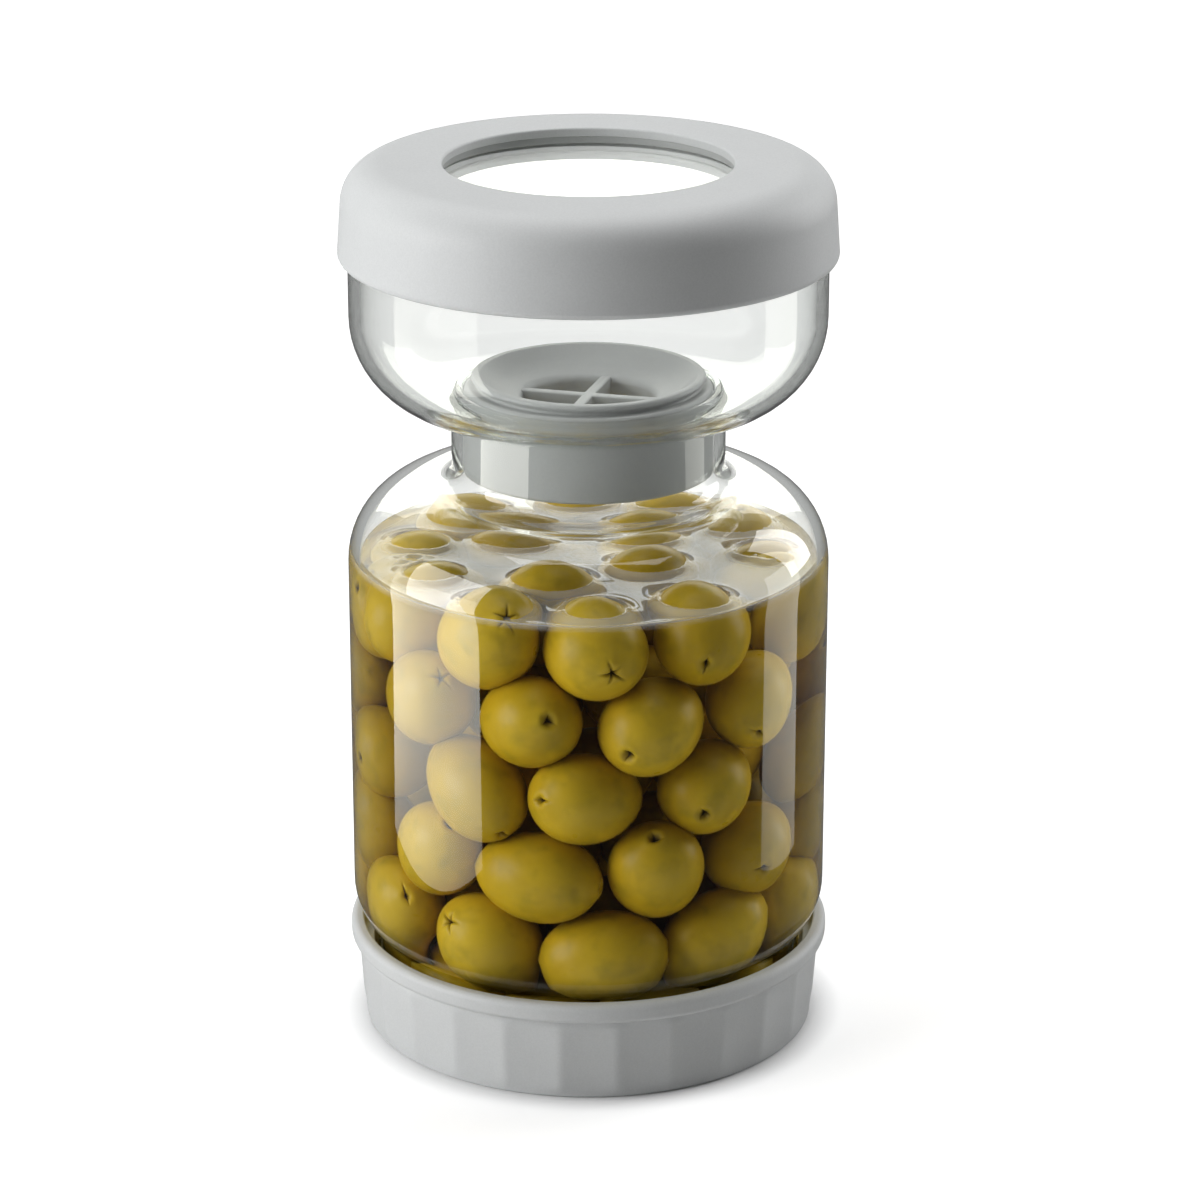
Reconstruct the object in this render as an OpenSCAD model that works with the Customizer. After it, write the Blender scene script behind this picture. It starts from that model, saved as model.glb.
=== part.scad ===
// Olive jar with strainer: a tall glass jar and a small glass bowl joined by a neck.
// The strainer plugs the neck, a lid with a window closes the bowl, and a fluted screw cap closes
// the jar's lower mouth. The jar stands on the cap. Turned over, the brine runs through the
// strainer into the bowl, and the cap comes off at the top.

/* [Jar] */
// Outer diameter of the lower jar
jar_d = 102.8; // [99:0.2:108]
// Height of the lower jar, from its mouth to the top of its shoulder
jar_h = 117.2; // [80:0.2:150]
// Thickness of the glass
glass_wall = 2.4; // [1.8:0.1:3]
// Outer radius of the jar's shoulder
shoulder_r = 17.5; // [8:0.5:18]
// Outer diameter of the lower mouth, without its thread
mouth_d = 90.8; // [86:0.2:94]
// Slope of the heel between the mouth and the wall, in degrees
heel_slope = 40; // [30:1:50]
// Outer radius where the heel turns into the wall
heel_r = 13; // [5:0.5:13]
// Rounding of the two edges of a glass rim
rim_round = 0.8; // [0.3:0.1:0.8]

/* [Neck and bowl] */
// Outer diameter of the neck
neck_d = 58.2; // [52:0.2:59]
// Height of the neck, from the shoulder to the underside of the bowl
neck_h = 16.6; // [12:0.2:24]
// Fillet between the neck and the shoulder
neck_fillet = 4; // [2:0.5:4]
// Fillet between the neck and the bowl
bowl_fillet = 1; // [0.5:0.1:1.2]
// Height of the glass lip that stands up round the neck inside the bowl
lip_h = 1.4; // [1.4:0.1:2.5]
// Outer diameter of the bowl
bowl_d = 100.8; // [99:0.2:106]
// Height of the bowl, from its underside to its rim
bowl_h = 41.4; // [36:0.2:60]
// Outer radius of the bowl's lower corner
bowl_corner_r = 20; // [10:0.5:20]

/* [Strainer] */
// Length of the plug below the glass lip
plug_len = 18; // [13:0.5:19]
// Thickness of the plug's wall
plug_wall = 2.2; // [1.6:0.1:3]
// Height of the dish's rim above the glass lip
dish_rise = 2.8; // [2.2:0.1:5]
// Depth of the dish, from its rim to the drain
dish_depth = 4.8; // [4:0.1:5.6]
// How far the dish's rim lies inside the plug's outer wall
dish_inset = 1.5; // [1:0.1:3]
// Thickness of the dish's rim
dish_rim = 1.8; // [1.2:0.1:2.2]
// Diameter of the drain hole
drain_d = 28; // [20:0.5:32]
// Depth of the drain hole
drain_edge = 4.2; // [2:0.1:4.4]
// Width of each bar of the cross
bar_w = 2.4; // [1.6:0.1:3.5]
// Depth of each bar of the cross
bar_depth = 4; // [2:0.1:6]
// Turn of the cross about the jar's axis, in degrees
bar_turn = -15; // [-45:1:45]

/* [Lid] */
// Height of the lid
lid_h = 20; // [18:0.2:26]
// How far the lid's skirt reaches down past the bowl's rim
skirt_overlap = 9; // [5:0.2:12]
// Thickness of the skirt at its lower edge
skirt_wall = 1.95; // [1.6:0.05:3]
// Thickness of the lid's top
lid_top_wall = 1.9; // [1.5:0.1:2.4]
// How much the skirt draws in towards the top
lid_draft = 1.4; // [0.5:0.1:1.5]
// Outer radius of the lid's shoulder
lid_corner_r = 8.5; // [4:0.5:9]
// Diameter of the opening in the lid
opening_d = 60.8; // [50:0.2:64]
// Thickness of the window
window_t = 2; // [1.5:0.1:2.5]
// How far the window reaches under the lid's edge
window_overlap = 5.6; // [4:0.1:6]
// Thickness of the ring that seals the window
window_seal_t = 1.6; // [1:0.1:2]
// Thickness of the liner's walls and flange
liner_wall = 2; // [1.6:0.1:2.2]
// How far the liner reaches down into the bowl
liner_depth = 3.5; // [3.4:0.1:8]
// Height of the sealing ring's groove
seal_h = 1.8; // [1.2:0.1:1.8]
// Depth of the sealing ring's groove
seal_groove = 1.2; // [0.8:0.1:1.4]

/* [Base cap] */
// Height of the cap
cap_h = 22.5; // [18:0.5:28]
// Thickness of the cap's floor
cap_floor = 3; // [2.4:0.1:4]
// Thickness of the cap's wall behind the flutes
cap_wall = 1.8; // [1.2:0.1:2.5]
// How much wider the cap's wall is at the bead than at the floor, on the radius
cap_taper = 1.4; // [0.5:0.1:2]
// Number of flutes
flutes = 26; // [20:1:32]
// Depth of the flutes
flute_depth = 0.5; // [0.4:0.1:1]
// Height over which the flutes run out into the round foot
flute_runout = 2; // [1:0.5:4]
// Height of the bead round the rim
bead_h = 4.2; // [3:0.1:5]
// How far the bead stands out of the wall
bead_proud = 1.3; // [0.8:0.1:2]
// Width of the rim at the cap's mouth
rim_w = 2.8; // [2:0.1:3.4]
// Depth of the wide part of the cap's mouth
rim_depth = 5; // [3:0.1:6]
// Depth of the recess under the cap
foot_recess = 0.8; // [0.4:0.1:1.2]
// Width of the foot ring round that recess
foot_w = 7; // [4:0.5:12]
// Thickness of the seal disc
base_seal_t = 1.8; // [1:0.1:2.5]

/* [Fits] */
// Room for the screw thread between the mouth and the cap's bore, on the radius
thread_room = 1.8; // [1.4:0.1:2.4]
// Gap between the glass heel and the cap's rim, on the radius
heel_gap = 1.9; // [0.6:0.1:2.2]
// Gap between the plug and the neck, on the radius
plug_gap = 0.3; // [0.2:0.05:0.6]
// Gap between the lid's skirt and the bowl, on the radius
skirt_gap = 0.35; // [0.2:0.05:0.8]
// Gap between the liner and the bowl, on the radius
liner_gap = 0.6; // [0.4:0.05:1]
// Gap between the sealing ring and the bowl, on the radius
seal_gap = 0.25; // [0.15:0.05:0.4]
// Gap between a loose disc and the pocket that it lies in, on the radius
disc_gap = 0.3; // [0.1:0.05:0.5]

/* [Hidden] */
$fn = 96;
arc_step = 6;          // degrees between the points of a rounded corner
flute_steps = 8;       // points across one flute
soft_edge = 0.5;       // rounding of a moulded edge
overrun = 1;           // how far a cutter runs past what it cuts
heel_share = 0.75;     // most of the heel's slope that its outer rounding may take
throat_share = 0.2;    // share of that slope taken by the rounding above the mouth
lip_w = 1.9;           // width of the glass lip round the neck
bar_root = 1.2;        // how far a bar of the cross runs into the drain's edge
cup_slope = 2.4;       // rise of the dish's underside from the drain to the plug's wall
skirt_lip = 1.4;       // rounding of the lid's lower edge
skirt_step = 0.75;     // how far the lid's bore draws in above the liner's flange
ring_setback = 0.6;    // how far the window's sealing ring lies back from the opening
groove_backing = 0.2;  // extra wall behind the groove of the lid's sealing ring

// Radii of the glass
jar_r = jar_d / 2;
mouth_r = mouth_d / 2;
neck_r = neck_d / 2;
neck_bore_r = neck_r - glass_wall;
bowl_r = bowl_d / 2;
bowl_bore_r = bowl_r - glass_wall;
lip_round = 0.45 * lip_w;
lip_foot = lip_h / 4;

// Radii of the cap
cap_bore_r = mouth_r + thread_room;
cap_foot_r = cap_bore_r + cap_wall + flute_depth;
cap_top_r = cap_foot_r + cap_taper;
bead_r = cap_top_r + bead_proud;
rim_bore_r = bead_r - rim_w;
bead_round = bead_h / 3;
recess_r = cap_foot_r - flute_depth - foot_w;

// Heights, from the table up
seat_z = cap_floor + base_seal_t;
bead_z = cap_h - bead_h;
shoulder_z = seat_z + jar_h;
weld_z = shoulder_z + neck_h / 2;
bowl_z = shoulder_z + neck_h;
bowl_floor_z = bowl_z + glass_wall;
lip_z = bowl_floor_z + lip_h;
bowl_rim_z = bowl_z + bowl_h;

// The heel slopes from the mouth to the wall and passes the cap's rim with a gap
heel_z = cap_h - (rim_bore_r - heel_gap - mouth_r) * tan(heel_slope);
heel_top_z = heel_z + (jar_r - mouth_r) * tan(heel_slope);
heel_turn = tan((90 - heel_slope) / 2);
heel_len = (jar_r - mouth_r) / cos(heel_slope);
heel_round = min(heel_r, heel_share * heel_len / heel_turn);
throat_round = throat_share * heel_len / heel_turn;
heel_inner_rise = glass_wall * heel_turn;

// The shoulder and the bowl's corner leave room for the fillets at the neck
shoulder_round = min(shoulder_r, jar_r - neck_r - neck_fillet);
corner_round = min(bowl_corner_r, bowl_r - neck_r - bowl_fillet);

// Strainer
plug_r = neck_bore_r - plug_gap;
plug_z = lip_z - plug_len;
plug_top_z = lip_z + plug_gap;
plug_round = 2 * soft_edge;
dish_r = plug_r - dish_inset;
dish_z = lip_z + dish_rise;
dish_waist_r = dish_r - dish_rim;
dish_round = 0.4 * dish_rim;
drain_r = drain_d / 2;
drain_z = dish_z - dish_depth;
dish_knee = [(dish_r + drain_r) / 2, drain_z + dish_depth / 3, 2 * dish_depth];
drain_round = 0.5 * drain_edge;

// Lid, from the skirt's lower edge up
skirt_bore_r = bowl_r + skirt_gap;
lid_z = bowl_rim_z - skirt_overlap;
lid_top_z = lid_z + lid_h;
lid_under_z = lid_top_z - lid_top_wall;
lid_r = skirt_bore_r + skirt_wall;
lid_top_r = lid_r - lid_draft;
lid_corner_bore_r = skirt_bore_r - skirt_step;
opening_r = opening_d / 2;

// Window and liner
window_r = opening_r + window_overlap;
window_top_z = lid_under_z - window_seal_t;
window_z = window_top_z - window_t;
window_round = rim_round / 2;
window_seal_r = opening_r + ring_setback;
ledge_r = opening_r + window_overlap / 3;
liner_z = window_z - liner_wall;
liner_boss_r = lid_corner_bore_r - lid_corner_r + lid_top_wall;
liner_r = bowl_bore_r - liner_gap;
liner_bore_r = liner_r - liner_wall - groove_backing;
flange_r = skirt_bore_r - disc_gap;
flange_z = bowl_rim_z + liner_wall;
liner_end_z = bowl_rim_z - liner_depth;
seal_z = liner_end_z + (liner_depth - seal_h) / 2;
seal_r = bowl_bore_r - seal_gap;
seal_round = seal_h / 3;
seal_floor_r = liner_r - seal_groove;

plastic = "#c8cac9";
silicone = "#b9bcbc";
clear_glass = [0.86, 0.92, 0.91, 0.35];

function unit(v) = v / norm(v);
function flat(p) = [p[0], p[1]];

// The points of one rounded corner v between its neighbours p and q: an arc that is tangent to both
// sides, with a point every few degrees. A rounding of 0 leaves the corner sharp.
function corner(p, v, q, r) =
    let (in = unit(p - v), out = unit(q - v), half = acos(in * out) / 2)
    let (centre = v + unit(in + out) * r / sin(half))
    let (start = v + in * r / tan(half) - centre, end = v + out * r / tan(half) - centre)
    let (sweep = sign(cross(start, end)) * (180 - 2 * half), steps = ceil(abs(sweep) / arc_step))
    r == 0 ? [v] : [for (i = [0 : steps]) let (a = sweep * i / steps)
        centre + [start[0] * cos(a) - start[1] * sin(a), start[0] * sin(a) + start[1] * cos(a)]];

// A closed outline of corners [radius, height, rounding], taken in order.
function outline(corners) =
    let (n = len(corners))
    [for (i = [0 : n - 1]) each corner(flat(corners[(i + n - 1) % n]), flat(corners[i]),
                                       flat(corners[(i + 1) % n]), corners[i][2])];

module turned_solid(points) {
    rotate_extrude() polygon(outline(points));
}

// One level of the fluted wall: hollows of the given depth that meet in ridges at radius r. With no
// depth, the level is round.
function flute_ring(r, z, depth) =
    let (half = 180 / flutes, hollow = depth - r * (1 - cos(half)))
    [for (i = [0 : flutes - 1], k = [0 : flute_steps - 1])
        let (t = 2 * k / flute_steps - 1, reach = r * cos(half) / cos(half * t) - hollow * (1 - t * t))
        let (a = 2 * half * i + half * t)
        [reach * cos(a), reach * sin(a), z]];

// The fluted blank widens from its round, chamfered foot to the bead. The sides of its rings of
// points are triangles, because the flutes twist where they run out.
module fluted_blank() {
    foot_r = cap_foot_r - flute_depth;
    rings = [flute_ring(foot_r - soft_edge, 0, 0), flute_ring(foot_r, soft_edge, 0),
             flute_ring(cap_foot_r, soft_edge + flute_runout, flute_depth),
             flute_ring(cap_top_r, bead_z + soft_edge, flute_depth)];
    n = flutes * flute_steps;
    last = len(rings) - 1;
    sides = [for (j = [0 : last - 1], i = [0 : n - 1]) let (k = (i + 1) % n)
        each [[j * n + i, (j + 1) * n + i, (j + 1) * n + k], [j * n + i, (j + 1) * n + k, j * n + k]]];
    polyhedron([for (ring = rings) each ring],
               concat([[for (i = [0 : n - 1]) i]], sides, [[for (i = [0 : n - 1]) (last + 1) * n - 1 - i]]));
}

module base_cap() {
    color(plastic) difference() {
        union() {
            fluted_blank();
            turned_solid([
                [cap_bore_r - overrun, bead_z, 0],
                [bead_r, bead_z, bead_round],
                [bead_r, cap_h, bead_round],
                [cap_bore_r - overrun, cap_h, 0]]);
        }
        turned_solid([
            [0, cap_floor, 0],
            [cap_bore_r, cap_floor, 0],
            [cap_bore_r, cap_h - rim_depth, 0],
            [rim_bore_r, cap_h - rim_depth, 0],
            [rim_bore_r, cap_h - soft_edge, 0],
            [rim_bore_r + soft_edge, cap_h, 0],
            [rim_bore_r + soft_edge, cap_h + overrun, 0],
            [0, cap_h + overrun, 0]]);
        translate([0, 0, -overrun]) cylinder(h = foot_recess + overrun, r = recess_r);
    }
}

module base_seal() {
    color(silicone) translate([0, 0, cap_floor])
        cylinder(h = base_seal_t, r = cap_bore_r - disc_gap);
}

module jar_glass() {
    color(clear_glass) turned_solid([
        [mouth_r - glass_wall, seat_z, rim_round],
        [mouth_r, seat_z, rim_round],
        [mouth_r, heel_z, throat_round],
        [jar_r, heel_top_z, heel_round],
        [jar_r, shoulder_z, shoulder_round],
        [neck_r, shoulder_z, neck_fillet],
        [neck_r, weld_z, 0],
        [neck_bore_r, weld_z, 0],
        [neck_bore_r, shoulder_z - glass_wall, neck_fillet + glass_wall],
        [jar_r - glass_wall, shoulder_z - glass_wall, shoulder_round - glass_wall],
        [jar_r - glass_wall, heel_top_z + heel_inner_rise, heel_round - glass_wall],
        [mouth_r - glass_wall, heel_z + heel_inner_rise, throat_round + glass_wall]]);
}

module bowl_glass() {
    color(clear_glass) turned_solid([
        [neck_bore_r, weld_z, 0],
        [neck_r, weld_z, 0],
        [neck_r, bowl_z, bowl_fillet],
        [bowl_r, bowl_z, corner_round],
        [bowl_r, bowl_rim_z, rim_round],
        [bowl_bore_r, bowl_rim_z, rim_round],
        [bowl_bore_r, bowl_floor_z, corner_round - glass_wall],
        [neck_bore_r + lip_w, bowl_floor_z, lip_foot],
        [neck_bore_r + lip_w, lip_z, lip_round],
        [neck_bore_r, lip_z, lip_round]]);
}

// The plug with its dish, before the cross: the dish falls to the drain in a soft curve.
module strainer_cup() {
    turned_solid([
        [plug_r - plug_wall, plug_z, soft_edge],
        [plug_r, plug_z, plug_round],
        [plug_r, plug_top_z, plug_round],
        [dish_waist_r, plug_top_z, soft_edge],
        [dish_r, dish_z - dish_rim / 2, 0],
        [dish_r, dish_z, dish_round],
        [dish_waist_r, dish_z, dish_round],
        dish_knee,
        [drain_r, drain_z, drain_round],
        [drain_r, drain_z - drain_edge, soft_edge],
        [plug_r - plug_wall, drain_z - drain_edge + cup_slope, plug_wall]]);
}

module strainer() {
    bar_len = 2 * (drain_r + bar_root);
    color(silicone) union() {
        strainer_cup();
        for (turn = [0, 90]) rotate(bar_turn + turn)
            translate([-bar_len / 2, -bar_w / 2, drain_z - bar_depth]) cube([bar_len, bar_w, bar_depth]);
    }
}

module lid_shell() {
    color(plastic) turned_solid([
        [skirt_bore_r, lid_z, soft_edge],
        [lid_r, lid_z, skirt_lip],
        [lid_top_r, lid_top_z, lid_corner_r],
        [opening_r, lid_top_z, soft_edge],
        [opening_r, lid_under_z, 0],
        [lid_corner_bore_r, lid_under_z, lid_corner_r - lid_top_wall],
        [lid_corner_bore_r, flange_z, 0],
        [skirt_bore_r, flange_z, 0]]);
}

// The liner: a boss round the window, a ledge under it, a flange on the bowl's rim and a plug.
module lid_liner() {
    color(plastic) turned_solid([
        [liner_bore_r, liner_end_z, soft_edge],
        [liner_r, liner_end_z, soft_edge],
        [liner_r, seal_z, 0],
        [seal_floor_r, seal_z, 0],
        [seal_floor_r, seal_z + seal_h, 0],
        [liner_r, seal_z + seal_h, 0],
        [liner_r, bowl_rim_z, 0],
        [flange_r, bowl_rim_z, 0],
        [flange_r, flange_z, 0],
        [liner_r, flange_z, 0],
        [liner_r, window_z, soft_edge],
        [liner_boss_r, window_z, 0],
        [liner_boss_r, lid_under_z, 0],
        [window_r + disc_gap, lid_under_z, 0],
        [window_r + disc_gap, window_z, 0],
        [ledge_r, window_z, 0],
        [ledge_r, liner_z, soft_edge],
        [liner_bore_r, liner_z, soft_edge]]);
}

module lid_window() {
    color(clear_glass) turned_solid([
        [0, window_z, 0],
        [window_r, window_z, window_round],
        [window_r, window_top_z, window_round],
        [0, window_top_z, 0]]);
}

module window_seal() {
    color(silicone) turned_solid([
        [window_seal_r, window_top_z, 0],
        [window_r, window_top_z, 0],
        [window_r, lid_under_z, 0],
        [window_seal_r, lid_under_z, 0]]);
}

module lid_seal() {
    color(silicone) turned_solid([
        [seal_floor_r, seal_z, 0],
        [seal_r, seal_z, seal_round],
        [seal_r, seal_z + seal_h, seal_round],
        [seal_floor_r, seal_z + seal_h, 0]]);
}

base_cap();
base_seal();
jar_glass();
bowl_glass();
strainer();
lid_shell();
lid_liner();
lid_window();
window_seal();
lid_seal();
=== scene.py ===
# %% [markdown]
# # An olive jar with a strainer
# The real jar is an hourglass of clear glass. A silicone strainer plugs its waist, a lid with a round
# window closes the upper bowl, and a fluted screw cap closes the lower mouth, on which the jar stands.
# The CAD model holds the sizes and the joints. This lesson gives every piece a finished surface,
# fills the jar with olives and brine, and lights it as in a small photo studio.

import bmesh
import bpy
import numpy as np
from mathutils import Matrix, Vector


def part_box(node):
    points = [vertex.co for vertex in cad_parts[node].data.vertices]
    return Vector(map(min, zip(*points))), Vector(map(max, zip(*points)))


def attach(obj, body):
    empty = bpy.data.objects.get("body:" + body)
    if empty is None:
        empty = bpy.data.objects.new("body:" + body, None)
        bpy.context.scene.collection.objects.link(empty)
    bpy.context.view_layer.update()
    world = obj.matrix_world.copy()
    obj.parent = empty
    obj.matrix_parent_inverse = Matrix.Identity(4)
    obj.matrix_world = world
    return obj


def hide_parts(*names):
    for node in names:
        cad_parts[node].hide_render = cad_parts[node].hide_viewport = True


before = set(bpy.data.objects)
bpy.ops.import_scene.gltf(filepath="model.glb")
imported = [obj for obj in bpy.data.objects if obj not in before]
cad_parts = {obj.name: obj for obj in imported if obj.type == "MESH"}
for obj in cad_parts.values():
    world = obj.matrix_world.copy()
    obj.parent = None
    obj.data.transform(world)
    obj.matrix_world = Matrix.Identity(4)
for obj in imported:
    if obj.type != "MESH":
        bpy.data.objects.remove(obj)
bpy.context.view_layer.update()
MM = 0.001
TURN = 2 * np.pi
SHARP_FROM = np.radians(50)
print("CAD nodes:", ", ".join(sorted(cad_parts)))

# %% [markdown]
# ## Tools for shapes
# Nearly every piece here is turned, so one function rounds the corners of an outline and another
# carries the outline round the jar's axis. Sizes are in millimetres until a mesh is made. A Screw
# modifier could turn the outline too, but with arrays a thread or a flute can bend the same grid.

# %% Outlines, turned grids and meshes
def rounded(corners, spacing=1.5, arc_step=np.radians(6)):
    """An outline through corners (radius, height, rounding), as an array of (radius, height).

    Each corner becomes an arc that is tangent to both of its sides: its centre lies on the bisector,
    rounding / sin(half the angle) from the corner. Straight stretches are cut into even steps, with
    one spacing for all or one for the stretch after each corner. The outline is closed, unless it
    starts and ends on the axis.
    """
    point, size = np.split(np.array(corners, float), [2], axis=1)
    size = size[:, 0]
    back, ahead = np.roll(point, 1, 0) - point, np.roll(point, -1, 0) - point
    back /= np.linalg.norm(back, axis=1, keepdims=True)
    ahead /= np.linalg.norm(ahead, axis=1, keepdims=True)
    half = np.arccos(np.clip((back * ahead).sum(1), -1, 1)) / 2
    bisector = (back + ahead) / np.linalg.norm(back + ahead, axis=1, keepdims=True)
    centre = point + bisector * (size / np.sin(half))[:, None]
    start = point + back * (size / np.tan(half))[:, None] - centre
    side = np.sign(back[:, 1] * ahead[:, 0] - back[:, 0] * ahead[:, 1])
    arcs = []
    for k, sweep in enumerate(side * (np.pi - 2 * half)):
        steps = int(np.ceil(abs(sweep) / arc_step)) if size[k] > 0 else 0
        angle = np.linspace(0, sweep, steps + 1)[:, None]
        arcs.append(centre[k] + start[k] * np.cos(angle) + start[k][::-1] * (-1, 1) * np.sin(angle))
    spacing = np.repeat(np.broadcast_to(spacing, len(arcs)), [len(arc) for arc in arcs])
    arcs = np.concatenate(arcs)
    gap = np.roll(arcs, -1, 0) - arcs
    cuts = np.maximum(1, np.ceil(np.linalg.norm(gap, axis=1) / spacing)).astype(int)
    if corners[0][0] == 0 and corners[-1][0] == 0:
        cuts[-1] = 1
    row = np.repeat(np.arange(len(arcs)), cuts)
    share = (np.arange(len(row)) - np.repeat(np.cumsum(cuts) - cuts, cuts)) / cuts[row]
    return arcs[row] + gap[row] * share[:, None]


def turned(radius, height, columns=240):
    """A grid of points: radius and height, one per row or one per row and column, carried round Z."""
    angle = np.linspace(0, TURN, columns, endpoint=False)
    radius, height = (a[:, None] if a.ndim == 1 else a for a in (radius, height))
    return np.stack(np.broadcast_arrays(radius * np.cos(angle), radius * np.sin(angle), height), -1)


def quads(rows, columns, closed):
    """The quads of a grid that wraps round its columns and, if closed, round its rows too."""
    row, column = np.meshgrid(np.arange(rows if closed else rows - 1), np.arange(columns), indexing="ij")
    below, outside_painted_shadow = (row + 1) % rows, (column + 1) % columns
    corner = [row * columns + column, row * columns + outside_painted_shadow,
              below * columns + outside_painted_shadow, below * columns + column]
    return np.stack(corner, -1).reshape(-1, 4)


def outward(points, faces):
    """The faces turned outwards: the sum of the signed volumes under them has to be positive."""
    a, b, c, d = (points[faces[:, k]] for k in range(4))
    volume = (np.cross(a, b) * c).sum() + (np.cross(a, c) * d).sum()
    return faces if volume > 0 else faces[:, ::-1]


def piece(name, grids, material, body, nodes=()):
    """One mesh piece from closed grids of points in millimetres, with its poles merged and shaded
    smooth. It rides on a body and stands for the CAD nodes that are named."""
    points, faces, count = [], [], 0
    for grid in grids:
        rows, columns = grid.shape[:2]
        flat = grid.reshape(-1, 3)
        on_axis = np.ptp(grid[0], axis=0).max() < 1e-9
        points.append(flat)
        faces.append(outward(flat, quads(rows, columns, not on_axis)) + count)
        count += len(flat)
    mesh = bpy.data.meshes.new(name)
    mesh.from_pydata((np.concatenate(points) * MM).tolist(), [], np.concatenate(faces).tolist())
    work = bmesh.new()
    work.from_mesh(mesh)
    bmesh.ops.remove_doubles(work, verts=work.verts, dist=1e-8)
    work.to_mesh(mesh)
    work.free()
    mesh.shade_smooth()
    mesh.set_sharp_from_angle(angle=SHARP_FROM)
    return placed(name, mesh, material, body, nodes)


def placed(name, mesh, material, body, nodes=()):
    """Links a finished mesh as a piece at the origin."""
    mesh.materials.append(material)
    obj = bpy.data.objects.new(name, mesh)
    bpy.context.scene.collection.objects.link(obj)
    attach(obj, body)
    if nodes:
        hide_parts(*nodes)
    print(name, "has", len(mesh.polygons), "faces")
    return obj


def mark(mesh, name, values):
    """Stores one number per point on a mesh, for its material to read."""
    values = np.asarray(values, np.float32)
    mesh.attributes.new(name, "FLOAT", "POINT").data.foreach_set("value", values)


# %% [markdown]
# ## Tools for materials
# Colours are written as sRGB hex values, the way a colour picker shows them, and turned to linear.
# Nodes could be added and linked line by line, but that hides what a material is. So one function adds
# a shader node: a plain value sets an input, and another node's socket is linked. Three short ones
# mix colours, carry a number from one range to another, and put two numbers together.

# %% Colours and nodes
WHITE, BLACK = (1, 1, 1, 1), (0, 0, 0, 1)


def linear(hex_colour):
    """A hex colour as linear RGBA."""
    srgb = np.array([int(hex_colour[i:i + 2], 16) for i in (1, 3, 5)]) / 255
    rgb = np.where(srgb <= 0.04045, srgb / 12.92, ((srgb + 0.055) / 1.055) ** 2.4)
    return (*rgb.tolist(), 1.0)


def add(tree, kind, inputs=None, **settings):
    """Adds a shader node, with its settings, and its inputs set or linked."""
    node = tree.nodes.new("ShaderNode" + kind)
    for name, value in settings.items():
        setattr(node, name, value)
    for name, value in (inputs or {}).items():
        if isinstance(value, bpy.types.NodeSocket):
            tree.links.new(value, node.inputs[name])
        else:
            node.inputs[name].default_value = value
    return node


def blend(tree, factor, first, second):
    """A mix of two colours by a factor, as a socket."""
    mix = add(tree, "Mix", {"Factor": factor, "A": first, "B": second}, data_type="RGBA")
    return mix.outputs["Result"]


def ramp(tree, value, start, end, low=0.0, high=1.0):
    """A number carried from the range start to end onto low to high and held there, as a socket."""
    carried = add(tree, "MapRange", {
        "Value": value, "From Min": start, "From Max": end, "To Min": low, "To Max": high})
    return carried.outputs["Result"]


def combine(tree, operation, first, second):
    """Two numbers put together by a maths operation, as a socket."""
    return add(tree, "Math", {0: first, 1: second}, operation=operation).outputs[0]


def new_material(name):
    """An empty node material and its tree."""
    material = bpy.data.materials.new(name)
    material.use_nodes = True
    material.node_tree.nodes.clear()
    return material, material.node_tree


def per_metre(millimetres):
    """A texture's scale for features about this many millimetres apart."""
    return 1 / (millimetres * MM)


# %% [markdown]
# ## Moulded plastic and silicone
# The lid and the screw cap are light grey ABS with a soft matte skin: the mould was spark-eroded, so
# the surface has a fine, even grain that breaks up every highlight. The strainer and the seals are
# silicone of the same grey, a little smoother and darker. A picture of the grain could be laid on, but
# a noise on object coordinates has no seams: one noise drives the colour, the roughness and the bump,
# and a slower one adds faint clouds. Real grain is under 0.1 mm, too fine for the picture, so it is
# drawn at 0.4 to 0.5 mm.

# %% Plastic and silicone
CLOUD_MM = 18
ROUGHNESS_SPREAD = 0.06


def moulded(name, colour, shade, roughness, grain_mm, grain_depth_mm, ior):
    """A matte moulded material: faint clouds and fine grain between two close colours, and the same
    grain in roughness and bump."""
    material, tree = new_material(name)
    place = add(tree, "TexCoord").outputs["Object"]
    cloud = add(tree, "TexNoise", {"Vector": place, "Scale": per_metre(CLOUD_MM), "Detail": 3})
    grain = add(tree, "TexNoise", {
        "Vector": place, "Scale": per_metre(grain_mm), "Detail": 4, "Roughness": 0.7})
    mottle = combine(tree, "ADD", cloud.outputs["Fac"], ramp(tree, grain.outputs["Fac"], 0.35, 0.65))
    tint = blend(tree, ramp(tree, mottle, 0.5, 1.5), linear(colour), linear(shade))
    rough = ramp(tree, grain.outputs["Fac"], 0.3, 0.7,
                 roughness - ROUGHNESS_SPREAD, roughness + ROUGHNESS_SPREAD)
    bump = add(tree, "Bump", {
        "Height": grain.outputs["Fac"], "Strength": 1, "Distance": grain_depth_mm * MM})
    shader = add(tree, "BsdfPrincipled", {
        "Base Color": tint, "Roughness": rough, "Normal": bump.outputs["Normal"], "IOR": ior})
    add(tree, "OutputMaterial", {"Surface": shader.outputs["BSDF"]})
    return material


liner_abs = moulded("pale grey ABS", "#efefef", "#ecedec", 0.5, 0.4, 0.01, 1.46)
matte_abs = moulded("matte grey ABS", "#cdcfcf", "#c7c9c9", 0.52, 0.4, 0.02, 1.46)
silicone = moulded("grey silicone", "#b2b4b3", "#aeb0af", 0.42, 0.5, 0.012, 1.41)
print("mouldings:", ", ".join(material.name for material in (liner_abs, matte_abs, silicone)))

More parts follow.
